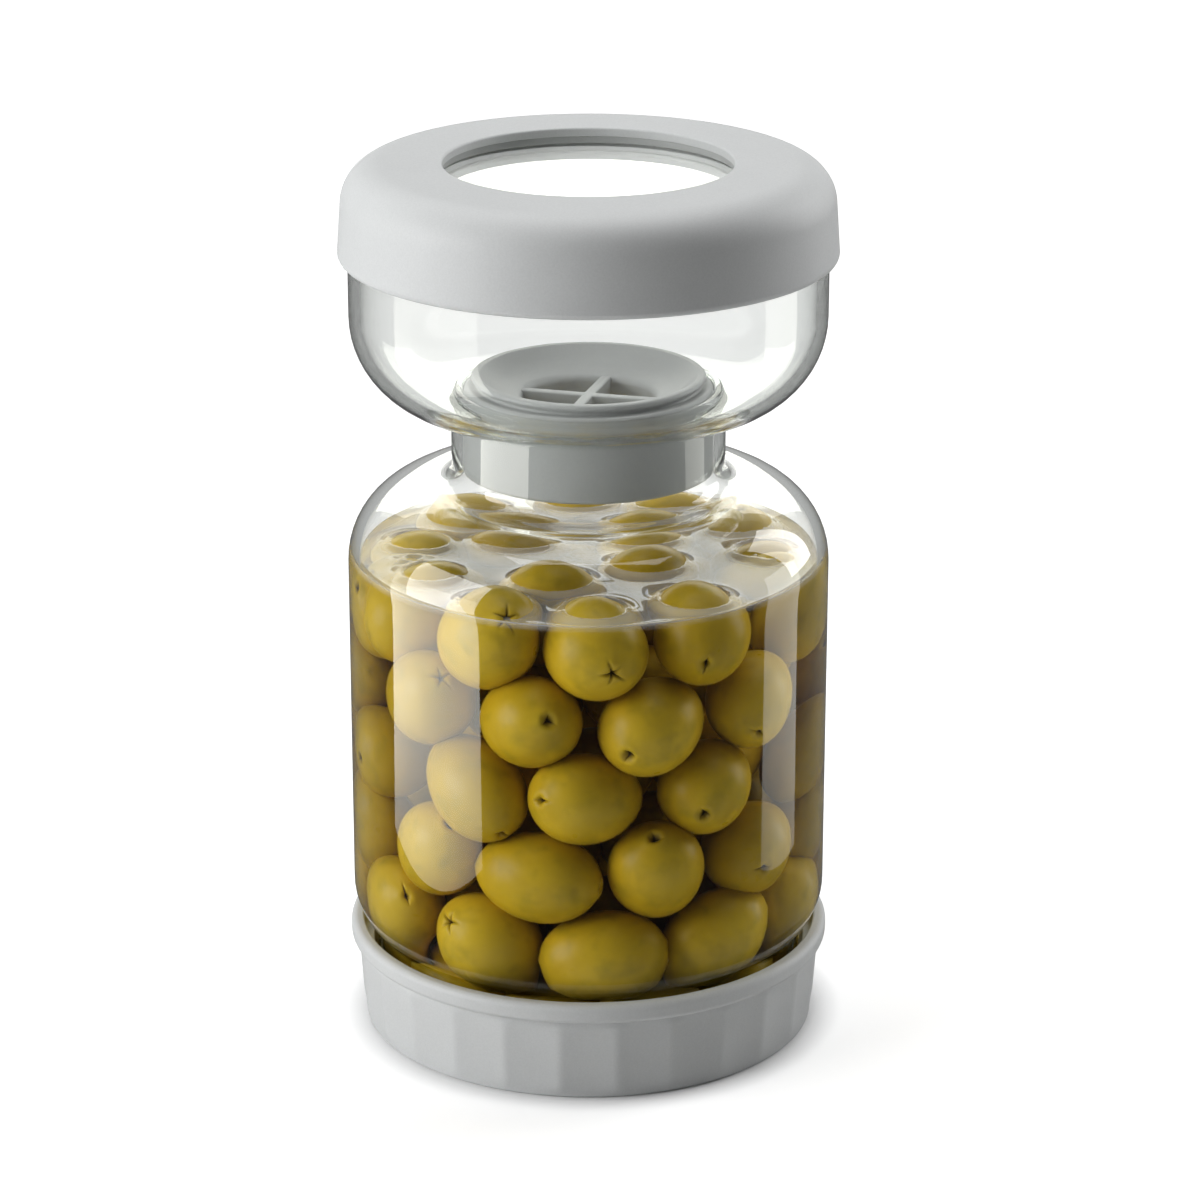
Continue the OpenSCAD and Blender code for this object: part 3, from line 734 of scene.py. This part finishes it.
def olives(name, which, material):
    """A group of olives as one mesh: a shape turned onto each axis, with its own stem end, size, stretch
    and tone. A stretch makes an olive longer and thinner, with its volume kept."""
    four, three = shapes[0][1:3]
    points = np.stack([shapes[kind][0] for kind in kinds[which]])
    brown_and_shade_mask = np.concatenate([shapes[kind][3] for kind in kinds[which]])
    along = axis[which]
    side = np.cross(along, np.where(np.abs(along[:, 2:]) < 0.9, (0, 0, 1), (1, 0, 0)))
    side /= np.linalg.norm(side, axis=1, keepdims=True)
    basis = np.stack([side, np.cross(along, side), along], 1)
    spin = spins[which]
    c, s = np.cos(spin)[:, None], np.sin(spin)[:, None]
    x, y = points[..., 0] * c - points[..., 1] * s, points[..., 0] * s + points[..., 1] * c
    longer = stretch[which][:, None]
    local = np.stack([x / np.sqrt(longer), y / np.sqrt(longer), points[..., 2] * longer], -1)
    world = centre[which][:, None] + local * sizes[which][:, None] @ basis
    shift = (np.arange(len(which)) * points.shape[1])[:, None, None]
    faces = (four + shift).reshape(-1, 4).tolist() + (three + shift).reshape(-1, 3).tolist()
    mesh = bpy.data.meshes.new(name)
    mesh.from_pydata((world.reshape(-1, 3) * MM).tolist(), [], faces)
    mark(mesh, "pit", brown_and_shade_mask)
    mark(mesh, "tone", np.repeat(tones[which], points.shape[1]))
    mesh.shade_smooth()
    return placed(name, mesh, material, "jar")


# %% [markdown]
# ## Olive skin
# Cured green olives run from yellow-green to khaki, each with its own tone, faint clouds and pale
# specks under the skin. The hole and its splits are dark brown, which is painted shade for their depth,
# and the tip has a small brown spot. The skin is smooth and wet, so it has a soft shine. One material
# for each olive could give the tones, but a number on the points does it with one for all.

# %% Olive skin
SKIN_CLOUD_MM, SKIN_PATCH_MM, SPECK_MM = 9, 5, 1.3
SKIN_BUMP_MM = 0.25


def olive_skin():
    """Yellow-green to khaki by each olive's tone, with clouds, pale specks, painted shade in the pit's
    hole and splits, and the tip's brown spot.
    """
    material, tree = new_material("cured olive skin")
    place = add(tree, "TexCoord").outputs["Object"]
    tone = add(tree, "Attribute", attribute_name="tone").outputs["Fac"]
    pit = add(tree, "Attribute", attribute_name="pit").outputs["Fac"]
    cloud = add(tree, "TexNoise", {"Vector": place, "Scale": per_metre(SKIN_CLOUD_MM), "Detail": 4})
    speck = add(tree, "TexVoronoi", {"Vector": place, "Scale": per_metre(SPECK_MM), "Randomness": 1})
    patch = add(tree, "TexNoise", {"Vector": place, "Scale": per_metre(SKIN_PATCH_MM), "Detail": 2})
    ripeness = ramp(tree, combine(tree, "ADD", tone, cloud.outputs["Fac"]), 0.35, 1.35)
    ripe = blend(tree, ripeness, linear("#aa8b0c"), linear("#caaa26"))
    greener = ramp(tree, patch.outputs["Fac"], 0.5, 0.75, 0, 0.45)
    skin = blend(tree, greener, ripe, linear("#8d7f16"))
    dots = ramp(tree, speck.outputs["Distance"], 0.12, 0.3, 0.08, 0)
    specked = blend(tree, dots, skin, linear("#ccb650"))
    # Painted shade: the hole and the splits go dark brown, as deep holes would look. The tip's brown spot
    # comes from the same mask.
    skin_with_brown_and_shade = blend(tree, pit, specked, linear("#40300a"))
    bump = add(tree, "Bump", {
        "Height": cloud.outputs["Fac"], "Strength": 0.5, "Distance": SKIN_BUMP_MM * MM})
    shader = add(tree, "BsdfPrincipled", {
        "Base Color": skin_with_brown_and_shade, "Roughness": ramp(tree, patch.outputs["Fac"], 0, 1, 0.22, 0.42), "IOR": 1.4,
        "Specular IOR Level": 0.42, "Normal": bump.outputs["Normal"]})
    add(tree, "OutputMaterial", {"Surface": shader.outputs["BSDF"]})
    return material


OLIVE_GROUPS = 6
# Olives that lie along the wall show their full length, so they are stretched the most
FRONT_STRETCH = 0.085
cured_skin = olive_skin()
spins = draw.uniform(0, TURN, len(centre))
sizes = draw.uniform(0.97, 1.02, len(centre))[:, None]
tones = draw.uniform(0, 1, len(centre))
kinds = draw.integers(0, len(shapes), len(centre))
stretch = draw.uniform(0.97, 1.05, len(centre))
stretch[:len(front_axis)] = 1 + FRONT_STRETCH * (1 - out ** 2)
for k, layer in enumerate(np.array_split(np.argsort(centre[:, 2]), OLIVE_GROUPS)):
    olives(f"olives_{k + 1}", layer, cured_skin)

# %% [markdown]
# ## The brine
# The brine fills the jar to just above its shoulder's start. Its skin climbs a little at the glass and
# round each olive that stands out of it, and that curve catches the light as a bright ring. A boolean
# of the jar's inside could fill it, but its flat top would have no points to lift. So one grid makes
# it all: across the bottom, up the wall and back over the top to the axis. It reaches a hair into the
# glass, so that no film of air shines between the two.

# %% Brine
SINK = 0.12
BRINE_FLOOR_Z = SEAT_Z + 0.05
MENISCUS, MENISCUS_LENGTH = 1.1, 1.5
BOTTOM_ROWS, TOP_ROWS, BRINE_COLUMNS = 12, 90, 320
wall_rows = rounded(jar_inside + [(MOUTH_BORE_R, SEAT_Z, 0), (0, SEAT_Z, 0), (0, BRINE_Z, 0)])
wall = wall_rows[(wall_rows[:, 1] < BRINE_Z) & (wall_rows[:, 0] > MOUTH_BORE_R - 0.01)]
wall = wall[np.argsort(wall[:, 1])]
bottom_r = np.linspace(4, MOUTH_BORE_R - 1, BOTTOM_ROWS)
top_r = np.linspace(BORE_R, 0, TOP_ROWS)
brine_r = np.concatenate([[0], bottom_r, wall[:, 0] + SINK, top_r[:1] + SINK, top_r[1:]])
brine_z = np.concatenate([
    np.full(1 + BOTTOM_ROWS, BRINE_FLOOR_Z), np.maximum(wall[:, 1], BRINE_FLOOR_Z),
    np.full(TOP_ROWS, BRINE_Z)])
brine_grid = turned(brine_r, brine_z, BRINE_COLUMNS)
top = brine_grid[-TOP_ROWS:]
rise = np.exp((np.linalg.norm(top[..., :2], axis=-1) - BORE_R) / MENISCUS_LENGTH)
for x, y, z in centre[centre[:, 2] + OLIVE_WIDE > BRINE_Z]:
    waterline = np.sqrt(max(OLIVE_WIDE ** 2 - (BRINE_Z - z) ** 2, 0))
    away = np.hypot(top[..., 0] - x, top[..., 1] - y) - waterline
    rise = np.maximum(rise, np.exp(-np.abs(away) / MENISCUS_LENGTH))
top[..., 2] += MENISCUS * rise
brine = piece("brine", [brine_grid], olive_brine, "jar")
place = np.empty(3 * len(brine.data.vertices), np.float32)
brine.data.vertices.foreach_get("co", place)
wetted = place[2::3] < (BRINE_Z - 0.01) * MM
mark(brine.data, "wet", wetted)
mark(brine.data, "film", ~wetted)

# %% [markdown]
# ## Floor, light and camera
# The picture was taken on white, with a large soft light at the left, a weaker one behind on the
# right and one above. The floor is pale and keeps the shadow, and a glow that only the camera and
# glass can see lifts it to white. Round the cap's foot the glow is held back, which paints a thin
# contact shadow there. A white room all round could light the jar too, but glass with white on every
# side has no edges. So the world is dim for light that scatters, white for the camera, and a soft far
# wall for reflections. Three cards, which light no matte surface, draw the long soft shapes on the
# glass and the sheen on the brine, and a small lamp stands for the light that bounces about in the
# bowl and brightens the liner under the window.

# %% Floor and world
FLOOR_Z, FLOOR_HALF = -0.05 * MM, 3.0
FLOOR_GLOW, GLOW_FROM, GLOW_TO = 0.4, 0.3, 1.0
# Painted contact shadow: no glow inside the first radius and full glow beyond the second, so the floor
# round the cap's foot stays darker.
FOOT_PAINTED_SHADOW_R, FOOT_CLEAR_R = 0.049, 0.056
THROUGH_GLASS, MIRRORED, FAR_WALL, AMBIENT = 0.7, 0.5, 0.5, 0.04


def floor_paper():
    """White paper: a diffuse surface, and a glow for the camera and glass, which rises away from the jar.
    The glow is missing under the foot and in a thin ring round it, which paints a contact shadow there.
    A ray that glass has mirrored before finds it dim."""
    material, tree = new_material("white floor paper")
    path = add(tree, "LightPath")
    dimmed = combine(tree, "MULTIPLY", path.outputs["Is Transmission Ray"], THROUGH_GLASS)
    seen = combine(tree, "MAXIMUM", path.outputs["Is Camera Ray"], dimmed)
    place = add(tree, "TexCoord").outputs["Object"]
    away = add(tree, "VectorMath", {0: place}, operation="LENGTH").outputs["Value"]
    rise = ramp(tree, away, GLOW_FROM, GLOW_TO, FLOOR_GLOW, 1.0)
    # Painted shadow: the glow fades out towards the foot.
    outside_painted_shadow = ramp(tree, away, FOOT_PAINTED_SHADOW_R, FOOT_CLEAR_R)
    power = combine(tree, "MULTIPLY", seen, combine(tree, "MULTIPLY", outside_painted_shadow, rise))
    paper = add(tree, "BsdfDiffuse", {"Color": linear("#f4f4f4")})
    glow = add(tree, "Emission", {"Color": WHITE, "Strength": power})
    both = add(tree, "AddShader", {0: paper.outputs["BSDF"], 1: glow.outputs["Emission"]})
    mirrored = combine(tree, "GREATER_THAN", path.outputs["Glossy Depth"], 0.5)
    dim = add(tree, "Emission", {"Color": WHITE, "Strength": MIRRORED})
    surface = add(tree, "MixShader", {0: mirrored, 1: both.outputs[0], 2: dim.outputs[0]})
    add(tree, "OutputMaterial", {"Surface": surface.outputs["Shader"]})
    return material


def studio():
    """A world that is white for the camera, a little dimmer through glass, dim for scattered light, and
    for gloss a wall behind the jar that fades to the sides and below the horizon."""
    world = bpy.data.worlds.new("studio")
    world.use_nodes = True
    tree = world.node_tree
    tree.nodes.clear()
    path = add(tree, "LightPath")
    clear_view = ramp(tree, path.outputs["Glossy Depth"], 0, 1, THROUGH_GLASS, MIRRORED)
    behind_glass = combine(tree, "MULTIPLY", path.outputs["Is Transmission Ray"], clear_view)
    way = add(tree, "SeparateXYZ", {"Vector": add(tree, "TexCoord").outputs["Generated"]})
    far_wall = ramp(tree, way.outputs["Y"], 0.2, 0.8, AMBIENT, FAR_WALL)
    above = ramp(tree, way.outputs["Z"], -0.2, 0.1, 0.25, 1.0)
    wall = combine(tree, "MULTIPLY", far_wall, above)
    in_gloss = combine(tree, "MULTIPLY", path.outputs["Is Glossy Ray"], wall)
    beyond = combine(tree, "MAXIMUM", in_gloss, behind_glass)
    backdrop = combine(tree, "MAXIMUM", path.outputs["Is Camera Ray"], beyond)
    level = combine(tree, "MAXIMUM", backdrop, AMBIENT)
    sky = add(tree, "Background", {"Color": WHITE, "Strength": level})
    add(tree, "OutputWorld", {"Surface": sky.outputs["Background"]})
    return world


corners = [(x * FLOOR_HALF, y * FLOOR_HALF, FLOOR_Z) for x, y in ((-1, -1), (1, -1), (1, 1), (-1, 1))]
floor_mesh = bpy.data.meshes.new("floor")
floor_mesh.from_pydata(corners, [], [(0, 1, 2, 3)])
floor_mesh.materials.append(floor_paper())
floor = bpy.data.objects.new("floor", floor_mesh)
bpy.context.scene.collection.objects.link(floor)
floor.visible_glossy = False
bpy.context.scene.world = studio()
print("floor:", 2 * FLOOR_HALF, "m wide, world:", bpy.context.scene.world.name)

# %% Lights and cards
LOOK_AT = Vector((0, 0, 0.095))
CARD_WHITE = "#fbfbf2"


def softbox(name, azimuth, elevation, distance, width, height, watts):
    """An area light that faces the jar and doesn't show through glass. Azimuth 0 is the front and 90
    the right, in degrees, and lengths are in metres."""
    a, e = np.radians(azimuth), np.radians(elevation)
    away = Vector((np.sin(a) * np.cos(e), -np.cos(a) * np.cos(e), np.sin(e)))
    lamp = bpy.data.lights.new(name, "AREA")
    lamp.shape, lamp.size, lamp.size_y, lamp.energy = "RECTANGLE", width, height, watts
    obj = bpy.data.objects.new(name, lamp)
    obj.location = LOOK_AT + away * distance
    obj.rotation_mode = "QUATERNION"
    obj.rotation_quaternion = away.to_track_quat("Z", "Y")
    obj.visible_camera = False
    obj.visible_transmission = False
    bpy.context.scene.collection.objects.link(obj)
    return obj


def only_for(obj, names):
    """Links a lamp to the named pieces, so that it lights or shows in no others."""
    seen_by = bpy.data.collections.new(obj.name)
    for name in names:
        seen_by.objects.link(bpy.data.objects[name])
    obj.light_linking.receiver_collection = seen_by


def card(*place, shown_in, top=1.0, bottom=1.0):
    """A softbox that shows only as a reflection in the named clear pieces. Towards its upper and lower
    edges its light falls to the shares that top and bottom give."""
    obj = softbox(*place)
    obj.data.color = linear(CARD_WHITE)[:3]
    obj.data.use_nodes = True
    tree = obj.data.node_tree
    tree.nodes.clear()
    spot = add(tree, "SeparateXYZ", {"Vector": add(tree, "NewGeometry").outputs["Parametric"]})
    fade = ramp(tree, spot.outputs["Y"], 0.45, 0.7, 1.0, top)
    rise = ramp(tree, spot.outputs["Y"], 0.0, 0.2, bottom, 1.0)
    glow = add(tree, "Emission", {"Color": WHITE, "Strength": combine(tree, "MULTIPLY", fade, rise)})
    add(tree, "OutputLight", {"Surface": glow.outputs["Emission"]})
    obj.visible_diffuse = False
    only_for(obj, shown_in)
    return obj


softbox("key light", -72, 15, 0.75, 0.55, 0.5, 5.0)
softbox("rim light", 118, 20, 0.75, 0.3, 0.55, 2.6)
softbox("top light", 180, 78, 0.8, 0.7, 0.7, 4.9)
only_for(softbox("liner light", 0, -5, 0.35, 0.3, 0.1, 1.0), ["lid_liner_ring"])
back_card = card("back card", 180, 24, 0.9, 1.1, 0.4, 3.0,
                 shown_in=["glass_body", "brine", "window_pane"])
# What the brine mirrors leaves through the glass, so this card may show in it
back_card.visible_transmission = True
card("left card", -73, -8, 0.25, 0.225, 0.2, 0.76, shown_in=["glass_body"], top=0.35, bottom=0.4)
card("right card", 96, -8, 0.25, 0.105, 0.2, 0.13, shown_in=["glass_body"], bottom=0.5)
print("lamps and cards:", ", ".join(lamp.name for lamp in bpy.data.lights))

# %% Camera
CAMERA_AT = Vector((0, -0.8546, 0.395))
AIM = Vector((0, 0, 0.0944))
LENS_MM, SENSOR_MM = 126.35, 36
SHIFT_PX, FRAME_PX = 11.5, 1200
camera_data = bpy.data.cameras.new("camera")
camera_data.lens, camera_data.sensor_width = LENS_MM, SENSOR_MM
camera_data.shift_x = SHIFT_PX / FRAME_PX
camera_data.clip_start = 0.01
camera = bpy.data.objects.new("camera", camera_data)
camera.location = CAMERA_AT
camera.rotation_mode = "QUATERNION"
camera.rotation_quaternion = (AIM - CAMERA_AT).to_track_quat("-Z", "Y")
bpy.context.scene.collection.objects.link(camera)
bpy.context.scene.camera = camera
bpy.context.scene.view_settings.view_transform = "Standard"
print("camera distance in m:", round((AIM - CAMERA_AT).length, 3))
